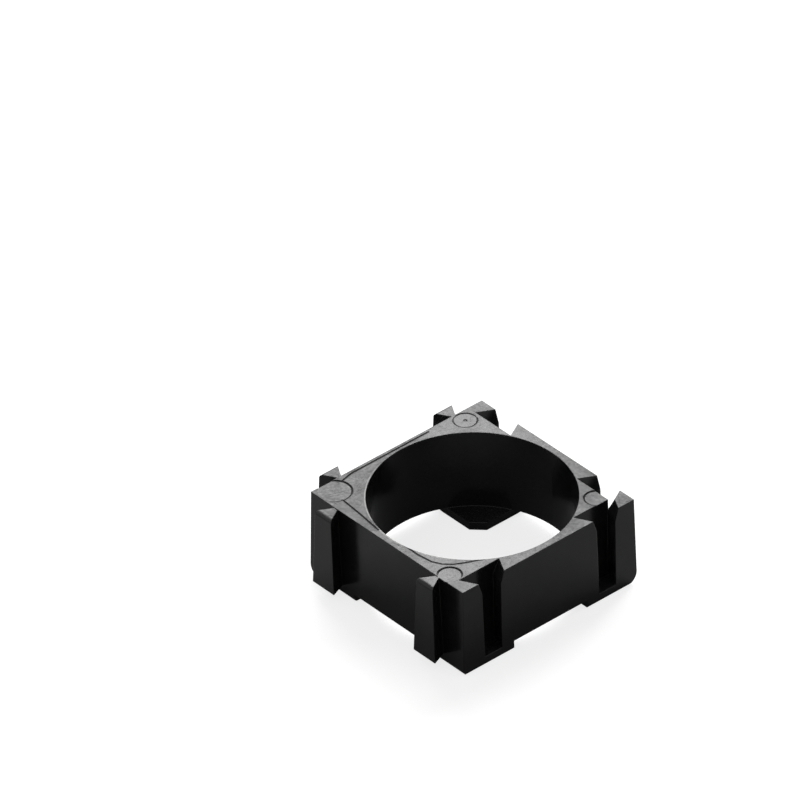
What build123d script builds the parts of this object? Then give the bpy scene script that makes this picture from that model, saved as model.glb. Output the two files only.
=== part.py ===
"""Battery cell holder bracket, injection moulded in one piece.

A square ring takes one end of a cylindrical cell. The cell rests on four thin corner
feet that reach in under the bore. Two sides carry two dovetail ribs each, and the two
opposite sides have two dovetail grooves each, so brackets slide together from above
into a rack with one cell at every pitch.

Frame: the bore's axis is Z and the origin lies on it at the cell seat, the level of the
feet's upper faces. The ribs are on the -X and +Y sides, the grooves on +X and -Y.
"""

import os
from math import radians, tan

from build123d import *

os.makedirs("parts", exist_ok=True)

# Driving dimensions, in millimetres.

# The cell and the ring around it
cell_diameter = 18.35  # largest cell that goes in
cell_clearance = 0.25  # on the diameter
wall_min = 0.8  # thinnest wall, at the middle of each side
bore_depth = 8.0  # from the seat to the top face
side_draft = 1.1  # degrees, each side leans in towards the top

# The corner feet
foot_thickness = 0.8
foot_side = 5.85  # each foot is a square of this side
foot_tip_chamfer = 1.1  # across the inner corner of each foot
foot_round = 1.1  # along the lower edges of the +X and +Y sides
foot_round_small = 0.4  # along the lower edge of the -X side
foot_round_tiny = 0.12  # along the lower edge of the -Y side

# The dovetails, one near each end of a side
dovetail_inset = 3.45  # from the ring's corner to the dovetail's centre line
rib_base = 0.15  # the ribs start this far above the seat
rib_height = 1.5  # how far a rib stands out of its side
rib_root_low = 1.6  # width at the side, at the lower end
rib_outer_low = 2.8  # width at the outer face, at the lower end
rib_root_top = 0.4
rib_outer_top = 2.1
rib_top_drop = 0.05  # the rib ends this far below the top face
rib_top_round = 0.35  # along the upper edge of the rib's outer face
groove_clearance = 0.1  # beyond the rib's height, at the groove's floor
groove_mouth_low = 1.95  # width at the side, at the seat
groove_floor_low = 3.05
groove_mouth_neck = 2.15  # just under the lead-in
groove_floor_neck = 3.2
groove_mouth_top = 2.95
groove_floor_top = 4.65
groove_lead_in = 1.25  # height of the wider mouth at the top

# Round marks of the moulding tool, sunk in the top face
pin_mark_depth = 0.06
large_pin = 3.1  # diameter
small_pin = 2.15
gate_pip = 0.35  # the dimple at the middle of one mark
gate_pip_depth = 0.12

# Values that follow from them
bore_diameter = cell_diameter + cell_clearance
side = bore_diameter + 2 * wall_min
top_z = bore_depth
base_z = -foot_thickness
lean = tan(radians(side_draft))
dovetail_offset = side / 2 - dovetail_inset
groove_depth = rib_height + groove_clearance
rib_top_z = top_z - rib_top_drop
overrun = 1.0  # how far a cutting shape passes the surface that it opens


def wall_at(z):
    """Distance of each side from the bore's axis at height z, where the seat has the full side."""
    return side / 2 - lean * z


def block_profile(plane, left_round, right_round):
    """Return the block's upright profile on a plane through the axis, its lower corners rounded."""
    low, high = wall_at(base_z), wall_at(top_z)
    with BuildSketch(plane) as profile:
        with BuildLine():
            Polyline((-low, base_z), (low, base_z), (high, top_z), (-high, top_z), close=True)
        make_face()
        lower = vertices().group_by(Axis.Y)[0].sort_by(Axis.X)
        fillet(lower[0], radius=left_round)
        lower = vertices().group_by(Axis.Y)[0].sort_by(Axis.X)
        fillet(lower[-1], radius=right_round)
    return profile.sketch.face()


def dovetail_section(turn, offset, z, reaches, widths):
    """Return one dovetail section as a face, at height z.

    The section lies across the side that faces +Y before it is turned about Z. reaches
    lists distances from the axis, and widths the section's width at each of them.
    """
    right = [(offset + w / 2, r) for r, w in zip(reaches, widths)]
    left = [(offset - w / 2, r) for r, w in zip(reaches, widths)]
    with BuildSketch(Plane.XY.offset(z).rotated((0, 0, turn))) as section:
        with BuildLine():
            Polyline(*right, *reversed(left), close=True)
        make_face()
    return section.sketch.face()


def rib(turn, offset):
    """Add one dovetail rib, tapering from just above the seat up to just below the top face."""
    stations = (
        (rib_base, rib_root_low, rib_outer_low),
        (rib_top_z, rib_root_top, rib_outer_top),
    )
    sections = []
    for z, root, outer in stations:
        wall = wall_at(z)
        reaches = (wall - wall_min / 2, wall, wall + rib_height)
        sections.append(dovetail_section(turn, offset, z, reaches, (root, root, outer)))
    loft(sections)


def groove(turn, offset):
    """Cut one dovetail groove, closed by the foot below and open at the top with a lead-in."""
    neck_z = top_z - groove_lead_in
    stations = (
        (0, groove_mouth_low, groove_floor_low),
        (neck_z, groove_mouth_neck, groove_floor_neck),
        (top_z, groove_mouth_top, groove_floor_top),
    )
    sections = []
    for z, mouth, floor in stations:
        wall = wall_at(z)
        reaches = (wall - groove_depth, wall, wall + overrun)
        sections.append(dovetail_section(turn, offset, z, reaches, (floor, mouth, mouth)))
    for pair in zip(sections, sections[1:]):
        loft(pair, mode=Mode.SUBTRACT)


rib_turns = (0, 90)
groove_turns = (180, 270)
offsets = (-dovetail_offset, dovetail_offset)

with BuildPart() as cell_bracket:
    # The square block, feet included: two upright profiles that cross
    across_x = block_profile(Plane.XZ, foot_round_small, foot_round)
    across_y = block_profile(Plane.YZ, foot_round_tiny, foot_round)
    extrude(across_x, amount=side, both=True)
    extrude(across_y, amount=side, both=True, mode=Mode.INTERSECT)

    # The space between the feet, open down to the surface that the bracket stands on
    with BuildSketch(Plane.XY.offset(base_z - overrun)):
        gap = 2 * wall_at(base_z) - 2 * foot_side
        across = 2 * wall_at(base_z) + 2 * overrun
        Rectangle(across, gap)
        Rectangle(gap, across)
        chamfer(
            [v for v in vertices() if abs(v.X) < gap and abs(v.Y) < gap],
            length=foot_tip_chamfer,
        )
    extrude(amount=foot_thickness + overrun, mode=Mode.SUBTRACT)

    # The bore for the cell, down to the seat
    with BuildSketch(Plane.XY):
        Circle(bore_diameter / 2)
    extrude(amount=bore_depth + overrun, mode=Mode.SUBTRACT)

    # The ribs, with the upper edge of each outer face rounded
    for turn in rib_turns:
        for offset in offsets:
            rib(turn, offset)
    rib_ends = edges().filter_by_position(Axis.Z, rib_top_z - 0.01, rib_top_z + 0.01)
    fillet(rib_ends.group_by(Axis.X)[0] + rib_ends.group_by(Axis.Y)[-1], radius=rib_top_round)

    for turn in groove_turns:
        for offset in offsets:
            groove(turn, offset)

    # Round marks on the top face, one near each corner
    edge = wall_at(top_z)
    with BuildSketch(Plane.XY.offset(top_z - pin_mark_depth)):
        with Locations((1.6 - edge, edge - 1.3)):
            Circle(large_pin / 2)
        with Locations((0.95 - edge, 2.75 - edge), (edge - 3.0, edge - 1.2), (edge - 2.25, 2.4 - edge)):
            Circle(small_pin / 2)
    extrude(amount=pin_mark_depth + overrun, mode=Mode.SUBTRACT)
    with BuildSketch(Plane.XY.offset(top_z - gate_pip_depth)):
        with Locations((edge - 3.0, edge - 1.2)):
            Circle(gate_pip / 2)
    extrude(amount=gate_pip_depth + overrun, mode=Mode.SUBTRACT)

cell_bracket.part.label = "cell_bracket"
export_step(cell_bracket.part, "parts/cell_bracket.step")
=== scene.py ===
"""Looks for the battery cell holder bracket: black plastic, a pale studio and the camera.

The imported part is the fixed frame, in metres. Its one node keeps its mesh and is dressed in
moulded black plastic with eroded top faces, soft edges and the seam of the core insert.
"""

import logging
import math
from dataclasses import dataclass
from enum import Enum
from typing import Any, Union

import bpy
from mathutils import Matrix, Vector


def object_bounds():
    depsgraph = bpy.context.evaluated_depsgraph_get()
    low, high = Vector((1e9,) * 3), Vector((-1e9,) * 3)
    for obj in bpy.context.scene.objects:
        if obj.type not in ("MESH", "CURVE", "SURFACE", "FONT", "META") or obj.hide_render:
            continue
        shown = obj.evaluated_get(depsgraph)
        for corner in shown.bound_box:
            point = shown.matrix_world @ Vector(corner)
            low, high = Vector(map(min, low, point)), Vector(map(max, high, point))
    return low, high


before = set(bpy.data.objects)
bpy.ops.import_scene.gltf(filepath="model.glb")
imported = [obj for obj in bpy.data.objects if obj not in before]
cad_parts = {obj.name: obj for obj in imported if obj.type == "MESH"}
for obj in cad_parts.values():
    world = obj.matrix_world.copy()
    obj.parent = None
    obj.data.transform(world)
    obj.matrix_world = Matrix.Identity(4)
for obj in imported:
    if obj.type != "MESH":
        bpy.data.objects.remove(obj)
cad_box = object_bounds()

log = logging.getLogger("bracket")

MM = 1000.0  # millimetres in a metre

Term = Union["Signal", float, tuple[float, ...]]
Sockets = dict[str | int, Term]
Point = tuple[float, float]  # x and y
Span = tuple[float, float]  # where a mask is 0 and where it is 1
Triple = tuple[float, float, float]
Colour = tuple[float, float, float, float]


class Maths(Enum):
    """Operations of a Math node."""

    ADD = "ADD"
    SUBTRACT = "SUBTRACT"
    MULTIPLY = "MULTIPLY"
    DIVIDE = "DIVIDE"
    SMALLER = "MINIMUM"
    LARGER = "MAXIMUM"
    SIZE = "ABSOLUTE"


class Vectors(Enum):
    """Operations of a Vector Math node."""

    SUBTRACT = "SUBTRACT"
    MULTIPLY = "MULTIPLY"
    SCALE = "SCALE"
    DOT = "DOT_PRODUCT"
    LENGTH = "LENGTH"


class Ray(Enum):
    """Kinds of ray that show a background, by their output of the Light Path node."""

    CAMERA = "Is Camera Ray"
    GLOSSY = "Is Glossy Ray"
    TRANSMISSION = "Is Transmission Ray"


class Graph:
    """The node tree of one material or world, built node by node."""

    def __init__(self, tree: bpy.types.NodeTree) -> None:
        """Start from an empty tree.

        Args:
            tree: the node tree to fill; its default nodes are removed.
        """
        self.tree = tree
        self.tree.nodes.clear()

    def node(
        self,
        kind: str,
        settings: dict[str, Any] | None = None,
        sockets: Sockets | None = None,
    ) -> bpy.types.Node:
        """Add one node.

        Args:
            kind: the node's type, such as ShaderNodeMath.
            settings: the node's own properties, set before its sockets.
            sockets: what goes into each input, by name or number: a value or a signal.

        Returns:
            The new node.
        """
        made = self.tree.nodes.new(kind)
        for name, value in (settings or {}).items():
            setattr(made, name, value)
        for key, value in (sockets or {}).items():
            self.feed(made.inputs[key], value)
        return made

    def feed(self, socket: bpy.types.NodeSocket, value: Term) -> None:
        """Link a signal to an input, or set the input's own value.

        Args:
            socket: the input.
            value: a signal, a number, or a tuple for a colour or vector.
        """
        if isinstance(value, Signal):
            self.tree.links.new(value.socket, socket)
        else:
            socket.default_value = value

    def signal(
        self,
        kind: str,
        output: str | int = 0,
        settings: dict[str, Any] | None = None,
        sockets: Sockets | None = None,
    ) -> "Signal":
        """Add one node and return one of its outputs as a signal.

        Args:
            kind: the node's type.
            output: the output's name or number.
            settings: the node's own properties.
            sockets: what goes into each input.

        Returns:
            The chosen output.
        """
        return Signal(self, self.node(kind, settings, sockets).outputs[output])

    def mix(self, mask: Term, low: Term, high: Term) -> "Signal":
        """Mix two colours.

        Args:
            mask: 0 for the first colour, 1 for the second.
            low: the first colour, with its alpha.
            high: the second colour, with its alpha.

        Returns:
            The mixed colour.
        """
        return self.signal("ShaderNodeMix", 2, {"data_type": "RGBA"}, {0: mask, 6: low, 7: high})

    def vector(self, operation: Vectors, sockets: Sockets, output: str = "Vector") -> "Signal":
        """Add a Vector Math node.

        Args:
            operation: what the node does.
            sockets: what goes into each input.
            output: Vector or Value.

        Returns:
            The result.
        """
        settings = {"operation": operation.value}
        return self.signal("ShaderNodeVectorMath", output, settings, sockets)

    def show(self, shader: bpy.types.Node, kind: str = "ShaderNodeOutputMaterial") -> None:
        """Link a finished shader to the tree's output.

        Args:
            shader: the shader's node.
            kind: the output node's type.
        """
        self.tree.links.new(shader.outputs[0], self.node(kind).inputs["Surface"])


@dataclass(frozen=True)
class Signal:
    """One output of a node, used as a term of an expression.

    An operator on a signal adds the Math node that it stands for. The methods named after a
    vector's operations add Vector Math nodes.
    """

    graph: Graph
    socket: bpy.types.NodeSocket

    def maths(self, operation: Maths, first: Term, second: Term = 0.0) -> "Signal":
        """Add a Math node.

        Args:
            operation: what the node does.
            first: its first value.
            second: its second value, where it has one.

        Returns:
            The result.
        """
        settings = {"operation": operation.value}
        return self.graph.signal("ShaderNodeMath", 0, settings, {0: first, 1: second})

    def __add__(self, other: Term) -> "Signal":
        """Return self + other."""
        return self.maths(Maths.ADD, self, other)

    def __radd__(self, other: Term) -> "Signal":
        """Return other + self."""
        return self.maths(Maths.ADD, other, self)

    def __sub__(self, other: Term) -> "Signal":
        """Return self - other."""
        return self.maths(Maths.SUBTRACT, self, other)

    def __rsub__(self, other: Term) -> "Signal":
        """Return other - self."""
        return self.maths(Maths.SUBTRACT, other, self)

    def __mul__(self, other: Term) -> "Signal":
        """Return self * other."""
        return self.maths(Maths.MULTIPLY, self, other)

    def __rmul__(self, other: Term) -> "Signal":
        """Return other * self."""
        return self.maths(Maths.MULTIPLY, other, self)

    def __truediv__(self, other: Term) -> "Signal":
        """Return self / other."""
        return self.maths(Maths.DIVIDE, self, other)

    def __rtruediv__(self, other: Term) -> "Signal":
        """Return other / self."""
        return self.maths(Maths.DIVIDE, other, self)

    def __abs__(self) -> "Signal":
        """Return the value without its sign."""
        return self.maths(Maths.SIZE, self)

    def smaller(self, other: Term) -> "Signal":
        """Return the smaller of two values."""
        return self.maths(Maths.SMALLER, self, other)

    def larger(self, other: Term) -> "Signal":
        """Return the larger of two values."""
        return self.maths(Maths.LARGER, self, other)

    def clamped(self) -> "Signal":
        """Return the value kept between 0 and 1."""
        return self.larger(0.0).smaller(1.0)

    def ramp(self, low: float, high: float) -> "Signal":
        """Turn a value into a mask with soft ends.

        Args:
            low: where the mask is 0.
            high: where the mask is 1; it may be less than low.

        Returns:
            The mask.
        """
        falling = high < low
        start, stop = (high, low) if falling else (low, high)
        sockets: Sockets = {"Value": self, "From Min": start, "From Max": stop}
        settings = {"interpolation_type": "SMOOTHSTEP"}
        mask = self.graph.signal("ShaderNodeMapRange", 0, settings, sockets)
        return 1.0 - mask if falling else mask

    def minus(self, other: Term) -> "Signal":
        """Return this vector less another."""
        return self.graph.vector(Vectors.SUBTRACT, {0: self, 1: other})

    def times(self, other: Term) -> "Signal":
        """Return this vector times another, part by part."""
        return self.graph.vector(Vectors.MULTIPLY, {0: self, 1: other})

    def scaled(self, factor: Term) -> "Signal":
        """Return this vector times one number."""
        return self.graph.vector(Vectors.SCALE, {0: self, "Scale": factor})

    def dot(self, other: Term) -> "Signal":
        """Return the scalar product with another vector."""
        return self.graph.vector(Vectors.DOT, {0: self, 1: other}, "Value")

    def length(self) -> "Signal":
        """Return this vector's length."""
        return self.graph.vector(Vectors.LENGTH, {0: self}, "Value")

    def flat(self) -> "Signal":
        """Return this vector with its height taken out."""
        return self.times((1.0, 1.0, 0.0))

    def height(self) -> "Signal":
        """Return this vector's part along Z."""
        return self.dot((0.0, 0.0, 1.0))

    def turned(self, degrees: float) -> "Signal":
        """Return this vector turned about Z by an angle in degrees."""
        sockets: Sockets = {"Vector": self, "Angle": math.radians(degrees)}
        return self.graph.signal("ShaderNodeVectorRotate", 0, {"rotation_type": "Z_AXIS"}, sockets)


@dataclass(frozen=True)
class Mottle:
    """Fractal noise of one size, from 0 to 1 around one half."""

    scale: float  # features in a millimetre
    detail: float = 2.0  # how many finer layers are added
    rough: float = 0.5  # how strong the finer layers are

    def at(self, place: Signal) -> Signal:
        """Read the noise.

        Args:
            place: the point on the part, in millimetres.

        Returns:
            The noise's value there.
        """
        sockets: Sockets = {
            "Vector": place,
            "Scale": self.scale,
            "Detail": self.detail,
            "Roughness": self.rough,
        }
        return place.graph.signal("ShaderNodeTexNoise", "Fac", None, sockets)

    def swing(self, place: Signal) -> Signal:
        """Return the noise at a point as a swing of one half about 0."""
        return self.at(place) - 0.5


@dataclass(frozen=True)
class InsertSeam:
    """The fine line that the mould's core insert leaves round the bore, on the top face.

    Lengths are in millimetres, and the runs are seen from above, from the bore's axis.
    """

    along_back: tuple[Point, ...] = ((-6.9, 9.3), (-5.6, 9.58), (3.4, 9.62))
    along_left: tuple[Point, ...] = ((-8.7, 7.2), (-8.95, 4.6), (-9.3, 1.8))
    round_front: tuple[Point, ...] = (
        (-9.1, -1.4),
        (-9.15, -3.2),
        (-8.95, -4.75),
        (-8.5, -5.65),
        (-7.85, -6.3),
        (-6.9, -6.85),
        (-5.4, -7.55),
    )
    line_range: Span = (0.117, 0.036)  # of the distance from the line's middle

    def mask(self, place: Signal) -> Signal:
        """Draw the seam.

        Args:
            place: the point on the part, in millimetres.

        Returns:
            1 on the seam and 0 away from it.
        """
        nearest: Signal | None = None
        for run in (self.along_back, self.along_left, self.round_front):
            for start, end in zip(run, run[1:]):
                away = self.distance(place.flat(), start, end)
                nearest = away if nearest is None else nearest.smaller(away)
        return nearest.ramp(*self.line_range)

    @staticmethod
    def distance(point: Signal, start: Point, end: Point) -> Signal:
        """Measure how far a point is from one straight run.

        Args:
            point: the point, with its height taken out.
            start: where the run starts.
            end: where the run ends.

        Returns:
            The distance in millimetres.
        """
        along = (end[0] - start[0], end[1] - start[1], 0.0)
        reach = along[0] ** 2 + along[1] ** 2
        offset = point.minus((*start, 0.0))
        share = (offset.dot(along) / reach).clamped()
        nearest = point.graph.vector(Vectors.SCALE, {0: along, "Scale": share})
        return offset.minus(nearest).length()


@dataclass(frozen=True)
class PinMark:
    """One burnished round that a pin of the mould leaves on the top face, in millimetres."""

    x: float
    y: float
    radius: float


@dataclass(frozen=True)
class PinMarks:
    """The burnished rounds on the top face.

    Each has a fine ring, sharp on the side towards the bore and fading out towards the part's
    corner; the ring's dark colour is painted shade of the mark's recessed wall. Lengths are in
    millimetres.
    """

    marks: tuple[PinMark, ...] = (
        PinMark(-8.35, 8.65, 1.55),
        PinMark(-9.0, -7.2, 1.075),
        PinMark(6.95, 8.75, 1.075),
        PinMark(7.7, -7.55, 1.075),
    )
    disc_range: Span = (0.0, -0.1)  # of the distance outside the mark
    ring_range: Span = (0.1, 0.03)  # of the distance from the ring's middle
    inward_range: Span = (-0.5, 0.3)  # in radii from the mark's centre towards the bore

    def masks(self, place: Signal) -> tuple[Signal, Signal]:
        """Draw the marks.

        Args:
            place: the point on the part, in millimetres.

        Returns:
            1 inside the marks, and 1 on their rings.
        """
        inside: Signal | None = None
        rings: Signal | None = None
        for mark in self.marks:
            offset = place.flat().minus((mark.x, mark.y, 0.0))
            beyond = offset.length() - mark.radius
            disc = beyond.ramp(*self.disc_range)
            unit = math.hypot(mark.x, mark.y) * mark.radius
            inward = offset.dot((-mark.x / unit, -mark.y / unit, 0.0))
            ring = abs(beyond).ramp(*self.ring_range) * inward.ramp(*self.inward_range)
            inside = disc if inside is None else inside.larger(disc)
            rings = ring if rings is None else rings.larger(ring)
        return inside, rings


@dataclass(frozen=True)
class Scratches:
    """A few fine scratches: stretched noise, cut high, in several directions.

    Each layer is its angle in degrees and the offset that makes its noise its own.
    """

    layers: tuple[tuple[float, float], ...] = ((24.0, 3.0), (-51.0, 11.0), (78.0, 29.0))
    stretch: Triple = (0.16, 5.0, 0.16)
    noise: Mottle = Mottle(1.0, 1.0)
    cut_range: Span = (0.71, 0.75)

    def mask(self, place: Signal) -> Signal:
        """Draw the scratches.

        Args:
            place: the point on the part, in millimetres.

        Returns:
            1 in a scratch and 0 away from it.
        """
        lines: Signal | None = None
        for turn, offset in self.layers:
            drawn = place.turned(turn).times(self.stretch).minus((offset, offset, 0.0))
            streak = self.noise.at(drawn).ramp(*self.cut_range)
            lines = streak if lines is None else lines.larger(streak)
        return lines


@dataclass(frozen=True)
class RimHighlight:
    """The bore's rim, with a painted highlight: a lighter colour in patches on the side of the
    ribs. Lengths are in millimetres.
    """

    bore_radius: float = 9.3
    reach_range: Span = (0.16, 0.064)  # of the distance outside the bore
    # the colour of the painted highlight, broken into patches by the noise below
    colour: Colour = (0.19, 0.19, 0.185, 1.0)
    breakup: Mottle = Mottle(0.8)
    breakup_range: Span = (0.3, 0.6)
    towards: Triple = (-0.75, 0.2, 0.0)
    towards_range: Span = (3.0, 6.5)

    def mask(self, place: Signal) -> Signal:
        """Draw the painted highlight on the rim.

        Args:
            place: the point on the part, in millimetres.

        Returns:
            1 where the highlight is painted and 0 away from it.
        """
        reach = place.flat().length() - self.bore_radius
        patchy = self.breakup.at(place).ramp(*self.breakup_range)
        side = place.dot(self.towards).ramp(*self.towards_range)
        return reach.ramp(*self.reach_range) * patchy * side


@dataclass(frozen=True)
class Masks:
    """What each point of the plastic is. Every field is a signal."""

    place: Signal  # the point, in millimetres
    upward: Signal  # 1 on the faces that look up and 0 on the walls
    lines: Signal  # the insert's seam and the marks' rings; the rings' darkness is painted shade
    # where the rim's highlight is painted
    rim: Signal
    scratches: Signal
    burnished: Signal


@dataclass(frozen=True)
class MouldedPlastic:
    """Black injection-moulded plastic.

    The side walls are smooth from the polished mould. The faces that look up carry a fine
    eroded grain, with the insert's seam and a few light scratches. Every edge is slightly soft.
    Lengths are in millimetres.
    """

    name: str = "black_plastic"
    top_height: float = 8.0
    # the bore's rim, with its painted highlight
    rim: RimHighlight = RimHighlight()
    seam: InsertSeam = InsertSeam()
    pins: PinMarks = PinMarks()
    scratches: Scratches = Scratches()
    specular: float = 0.27
    upward_range: Span = (0.6, 0.9)  # of the normal's part along Z
    top_band: Span = (0.12, 0.03)  # of the depth below the top face
    ring_share: float = 0.8  # how strong the rings are beside the seam
    wall_scratch_share: float = 0.15

    # Colour
    colour: Colour = (0.006, 0.006, 0.0063, 1.0)
    dull_colour: Colour = (0.013, 0.013, 0.0125, 1.0)
    dust_colour: Colour = (0.25, 0.25, 0.24, 1.0)
    # dark on the insert's seam, and painted shade of the recess walls in the pin marks' rings
    seam_and_ring_shade_colour: Colour = (0.003, 0.003, 0.003, 1.0)
    tint_clouds: Mottle = Mottle(0.35, 3.0, 0.6)
    tint_cloud_range: Span = (0.4, 0.7)
    cloud_tint: float = 0.35
    tint_grain: Mottle = Mottle(5.0)
    tint_grain_range: Span = (0.45, 0.7)
    grain_tint: float = 0.5
    dust: Mottle = Mottle(9.0, 0.0)
    dust_range: Span = (0.8, 0.84)
    dust_tint: float = 0.25

    # Gloss
    side_roughness: float = 0.2
    top_roughness: float = 0.3
    dull_extra: float = 0.13  # added towards the corners away from the gate's diagonal
    dull_range: Span = (3.0, 13.0)
    gloss_clouds: Mottle = Mottle(0.5, 4.0, 0.65)
    gloss_grain: Mottle = Mottle(3.5, 3.0, 0.7)
    wall_clouding: float = 0.12
    top_clouding: float = 0.5
    top_graining: float = 0.6
    scratch_roughness: float = 0.12
    line_roughness: float = 0.6
    burnish: float = 0.07

    # Fine relief
    edge_radius: float = 0.1
    edge_samples: int = 6
    waves: Mottle = Mottle(0.22, 1.0)
    wave_height: float = 0.03
    fine_grain: Mottle = Mottle(5.0, 2.0, 0.6)
    coarse_grain: Mottle = Mottle(1.75)
    coarse_share: float = 1.6
    grain_depth: float = 0.011
    wall_grain_share: float = 0.15
    scratch_depth: float = 0.0015
    line_depth: float = 0.09

    def build(self) -> bpy.types.Material:
        """Build the material.

        Returns:
            The finished material.
        """
        material = bpy.data.materials.new(self.name)
        material.use_nodes = True
        graph = Graph(material.node_tree)
        masks = self.masks(graph)
        sockets: Sockets = {
            "Base Color": self.tint(masks),
            "Roughness": self.gloss(masks),
            "Specular IOR Level": self.specular,
            "Normal": self.relief(masks),
        }
        graph.show(graph.node("ShaderNodeBsdfPrincipled", None, sockets))
        return material

    def masks(self, graph: Graph) -> Masks:
        """Draw every mask of the plastic.

        Args:
            graph: the material's nodes.

        Returns:
            The masks.
        """
        place = graph.signal("ShaderNodeTexCoord", "Object").scaled(MM)
        normal = graph.signal("ShaderNodeNewGeometry", "True Normal")
        upward = normal.height().ramp(*self.upward_range)
        far, near = self.top_band
        at_top = place.height().ramp(self.top_height - far, self.top_height - near)
        burnished, rings = self.pins.masks(place)
        wall_share = self.wall_scratch_share
        return Masks(
            place=place,
            upward=upward,
            lines=self.seam.mask(place).larger(rings * self.ring_share) * at_top,
            rim=self.rim.mask(place) * at_top,
            scratches=self.scratches.mask(place) * (wall_share + upward * (1.0 - wall_share)),
            burnished=burnished * at_top,
        )

    def tint(self, masks: Masks) -> Signal:
        """Colour the plastic, with a painted highlight on the bore's rim and painted shade in the
        pin marks' rings.

        Args:
            masks: the plastic's masks.

        Returns:
            The base colour.
        """
        graph = masks.place.graph
        clouds = self.tint_clouds.at(masks.place).ramp(*self.tint_cloud_range)
        grain = self.tint_grain.at(masks.place).ramp(*self.tint_grain_range) * masks.upward
        dust = self.dust.at(masks.place).ramp(*self.dust_range) * masks.upward
        dullness = clouds * self.cloud_tint + grain * self.grain_tint
        body = graph.mix(dullness, self.colour, self.dull_colour)
        dusty = graph.mix(dust * self.dust_tint, body, self.dust_colour)
        # painted highlight on the bore's rim
        with_rim_highlight = graph.mix(masks.rim, dusty, self.rim.colour)
        # the seam's dark line, and the painted shade in the pin marks' rings
        return graph.mix(masks.lines, with_rim_highlight, self.seam_and_ring_shade_colour)

    def gloss(self, masks: Masks) -> Signal:
        """Set the gloss.

        Args:
            masks: the plastic's masks.

        Returns:
            The roughness.
        """
        clouds = self.gloss_clouds.swing(masks.place)
        grain = self.gloss_grain.swing(masks.place)
        walls = self.side_roughness + clouds * self.wall_clouding
        off_diagonal = abs(masks.place.dot((1.0, -1.0, 0.0)))
        dull = off_diagonal.ramp(*self.dull_range) * self.dull_extra
        eroded = clouds * self.top_clouding + grain * self.top_graining
        tops = self.top_roughness + dull + eroded
        cuts = masks.scratches * self.scratch_roughness + masks.lines * self.line_roughness
        level = (walls + (tops - walls) * masks.upward + cuts).clamped()
        return level - masks.burnished * self.burnish

    def relief(self, masks: Masks) -> Signal:
        """Shape the fine surface: soft edges, then slow waves, grain, scratches and the lines.

        Args:
            masks: the plastic's masks.

        Returns:
            The shading normal.
        """
        graph = masks.place.graph
        settings = {"samples": self.edge_samples}
        soft = graph.signal("ShaderNodeBevel", 0, settings, {"Radius": self.edge_radius / MM})
        waves = self.waves.at(masks.place) * self.wave_height
        fine = self.fine_grain.at(masks.place)
        coarse = self.coarse_grain.at(masks.place) * self.coarse_share
        share = self.wall_grain_share + masks.upward * (1.0 - self.wall_grain_share)
        grain = (fine + coarse) * self.grain_depth * share
        cuts = masks.scratches * self.scratch_depth + masks.lines * self.line_depth
        sockets: Sockets = {
            "Strength": 1.0,
            "Distance": 1.0 / MM,
            "Height": waves + grain - cuts,
            "Normal": soft,
        }
        return graph.signal("ShaderNodeBump", 0, None, sockets)


class SeenRays:
    """Masks of the rays that show a background, apart from the rays that light things."""

    def __init__(self, graph: Graph) -> None:
        """Read the kind of ray.

        Args:
            graph: the nodes of the background's material or world.
        """
        path = graph.node("ShaderNodeLightPath")
        camera, glossy, transmitted = (Signal(graph, path.outputs[ray.value]) for ray in Ray)
        self.camera = camera
        self.mirrored = glossy.larger(transmitted)
        self.all = camera.larger(self.mirrored)


@dataclass(frozen=True)
class PaleGround:
    """The studio floor's finish: matt and pale, and white where the camera sees it."""

    name: str = "pale_ground"
    shade: float = 0.36
    lift: float = 0.76  # glow that the camera sees
    mirrored_lift: float = 0.03  # glow that glossy and transmission rays see

    def build(self) -> bpy.types.Material:
        """Build the material.

        Returns:
            The finished material.
        """
        material = bpy.data.materials.new(self.name)
        material.use_nodes = True
        graph = Graph(material.node_tree)
        rays = SeenRays(graph)
        glowing = rays.camera * self.lift + rays.mirrored * self.mirrored_lift
        colour = (self.shade, self.shade, self.shade, 1.0)
        matt = graph.node("ShaderNodeBsdfDiffuse", None, {"Color": colour})
        glow = graph.node("ShaderNodeEmission", None, {"Strength": glowing})
        both = graph.node("ShaderNodeAddShader")
        graph.tree.links.new(matt.outputs[0], both.inputs[0])
        graph.tree.links.new(glow.outputs[0], both.inputs[1])
        graph.show(both)
        return material


@dataclass(frozen=True)
class CellBracket:
    """The bracket itself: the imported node, dressed in its plastic."""

    node: str = "cell_bracket"
    plastic: MouldedPlastic = MouldedPlastic()

    def dress(self, nodes: dict[str, bpy.types.Object]) -> bpy.types.Object:
        """Give the node its material.

        Args:
            nodes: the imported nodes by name.

        Returns:
            The dressed object.
        """
        bracket = nodes[self.node]
        material = self.plastic.build()
        bracket.data.materials.clear()
        bracket.data.materials.append(material)
        for slot in bracket.material_slots:
            slot.material = material
        return bracket


def direction(azimuth: float, elevation: float) -> Vector:
    """Turn two angles into a direction from the part.

    Args:
        azimuth: in degrees: 0 is on the -Y side and 90 on the +X side.
        elevation: in degrees above the floor.

    Returns:
        The unit vector.
    """
    turn, rise = math.radians(azimuth), math.radians(elevation)
    across = math.cos(rise)
    return Vector((math.sin(turn) * across, -math.cos(turn) * across, math.sin(rise)))


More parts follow.
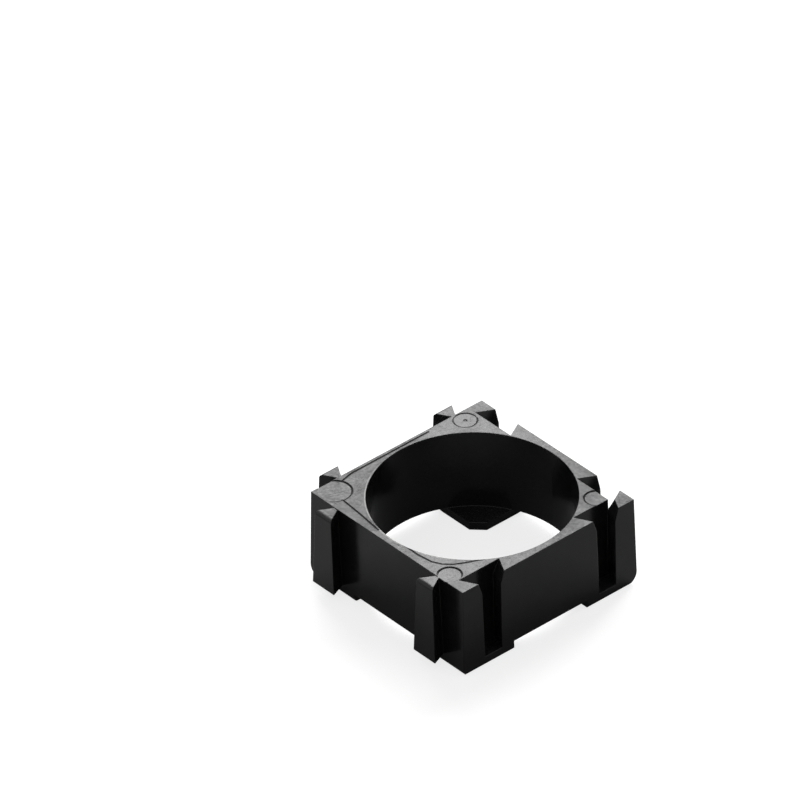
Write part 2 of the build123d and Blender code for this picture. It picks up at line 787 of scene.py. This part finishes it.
@dataclass(frozen=True)
class Softbox:
    """A rectangular studio light that faces the part. Lengths are in metres."""

    name: str
    azimuth: float  # degrees: 0 is on the -Y side and 90 on the +X side
    elevation: float  # degrees above the floor
    distance: float
    width: float
    height: float
    radiance: float

    def hang(self, target: Vector) -> bpy.types.Object:
        """Hang the light.

        Args:
            target: the point that it faces.

        Returns:
            The light's object.
        """
        lamp = bpy.data.lights.new(self.name, "AREA")
        lamp.shape = "RECTANGLE"
        lamp.size = self.width
        lamp.size_y = self.height
        lamp.energy = self.radiance * math.pi * self.width * self.height
        holder = bpy.data.objects.new(self.name, lamp)
        holder.visible_camera = False
        back = direction(self.azimuth, self.elevation)
        holder.location = target + back * self.distance
        holder.rotation_mode = "QUATERNION"
        holder.rotation_quaternion = (-back).to_track_quat("-Z", "Y")
        bpy.context.scene.collection.objects.link(holder)
        return holder


@dataclass(frozen=True)
class Studio:
    """A pale floor, soft light from behind and from the left, and an even pale surround."""

    floor_half: float = 3.0  # metres
    floor_gap: float = 0.00002  # keeps the floor clear of the feet's own faces
    surround: float = 0.36  # strength of the light from all round
    ground: PaleGround = PaleGround()
    lights: tuple[Softbox, ...] = (
        Softbox("back_softbox", 139.0, 38.0, 0.6, 0.52, 0.36, 8.6),
        Softbox("edge_strip", 108.0, 30.0, 0.6, 0.1, 0.5, 10.0),
        Softbox("left_softbox", -95.0, 40.0, 0.7, 0.5, 0.5, 0.6),
    )

    def lay_floor(self, level: float) -> bpy.types.Object:
        """Lay the floor under the part's feet.

        Args:
            level: the height of the feet's undersides in metres.

        Returns:
            The floor, marked as stage.
        """
        half, height = self.floor_half, level - self.floor_gap
        around = ((-half, -half), (half, -half), (half, half), (-half, half))
        mesh = bpy.data.meshes.new("studio_floor")
        mesh.from_pydata([(x, y, height) for x, y in around], [], [(0, 1, 2, 3)])
        mesh.materials.append(self.ground.build())
        floor = bpy.data.objects.new("studio_floor", mesh)
        bpy.context.scene.collection.objects.link(floor)
        return floor

    def light(self, target: Vector) -> list[bpy.types.Object]:
        """Set the surround and hang the lights.

        Args:
            target: the point that the lights face.

        Returns:
            The lights' objects.
        """
        world = bpy.data.worlds.new("pale_surround")
        world.use_nodes = True
        graph = Graph(world.node_tree)
        strength = self.surround + SeenRays(graph).all * (1.0 - self.surround)
        sockets: Sockets = {"Color": (1.0, 1.0, 1.0, 1.0), "Strength": strength}
        graph.show(graph.node("ShaderNodeBackground", None, sockets), "ShaderNodeOutputWorld")
        bpy.context.scene.world = world
        return [box.hang(target) for box in self.lights]


@dataclass(frozen=True)
class Viewpoint:
    """The camera: a long lens that looks down on the grooved front corner."""

    azimuth: float = -41.0485  # degrees, as for the lights
    elevation: float = 36.9548
    roll: float = -0.9766
    distance: float = 0.954135  # metres from the cell seat
    lens: float = 491.4  # millimetres
    sensor: float = 36.0
    right_of_centre: float = 0.09195  # where the cell seat stands, in widths of the frame
    below_centre: float = 0.21145

    def axes(self) -> Matrix:
        """Work out the way that the camera is turned.

        Returns:
            The rotation, with the camera's axes as its columns.
        """
        back = direction(self.azimuth, self.elevation)
        turn, roll = math.radians(self.azimuth), math.radians(self.roll)
        level = Vector((math.cos(turn), math.sin(turn), 0.0))
        upright = back.cross(level)
        across = level * math.cos(roll) + upright * math.sin(roll)
        above = upright * math.cos(roll) - level * math.sin(roll)
        frame_width = self.sensor / self.lens
        pan, tilt = self.right_of_centre * frame_width, self.below_centre * frame_width
        axis = (back + across * pan - above * tilt).normalized()
        side = (across - axis * across.dot(axis)).normalized()
        return Matrix((side, axis.cross(side), axis)).transposed()

    def place(self) -> bpy.types.Object:
        """Set up the camera as the scene's own.

        Returns:
            The camera's object.
        """
        data = bpy.data.cameras.new("camera")
        data.lens = self.lens
        data.sensor_width = self.sensor
        camera = bpy.data.objects.new("camera", data)
        stand = direction(self.azimuth, self.elevation) * self.distance
        camera.matrix_world = Matrix.Translation(stand) @ self.axes().to_4x4()
        bpy.context.scene.collection.objects.link(camera)
        bpy.context.scene.camera = camera
        return camera


def main() -> None:
    """Dress the bracket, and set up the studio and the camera."""
    logging.basicConfig(level=logging.INFO, format="%(name)s: %(message)s")
    bpy.context.scene.view_settings.view_transform = "Standard"
    bracket = CellBracket().dress(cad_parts)
    log.info("dressed %s in %s", bracket.name, bracket.active_material.name)
    low, high = cad_box
    studio = Studio()
    log.info("laid %s", studio.lay_floor(low.z).name)
    for lamp in studio.light((low + high) / 2):
        log.info("hung %s", lamp.name)
    log.info("set %s", Viewpoint().place().name)


if __name__ == "__main__":
    main()
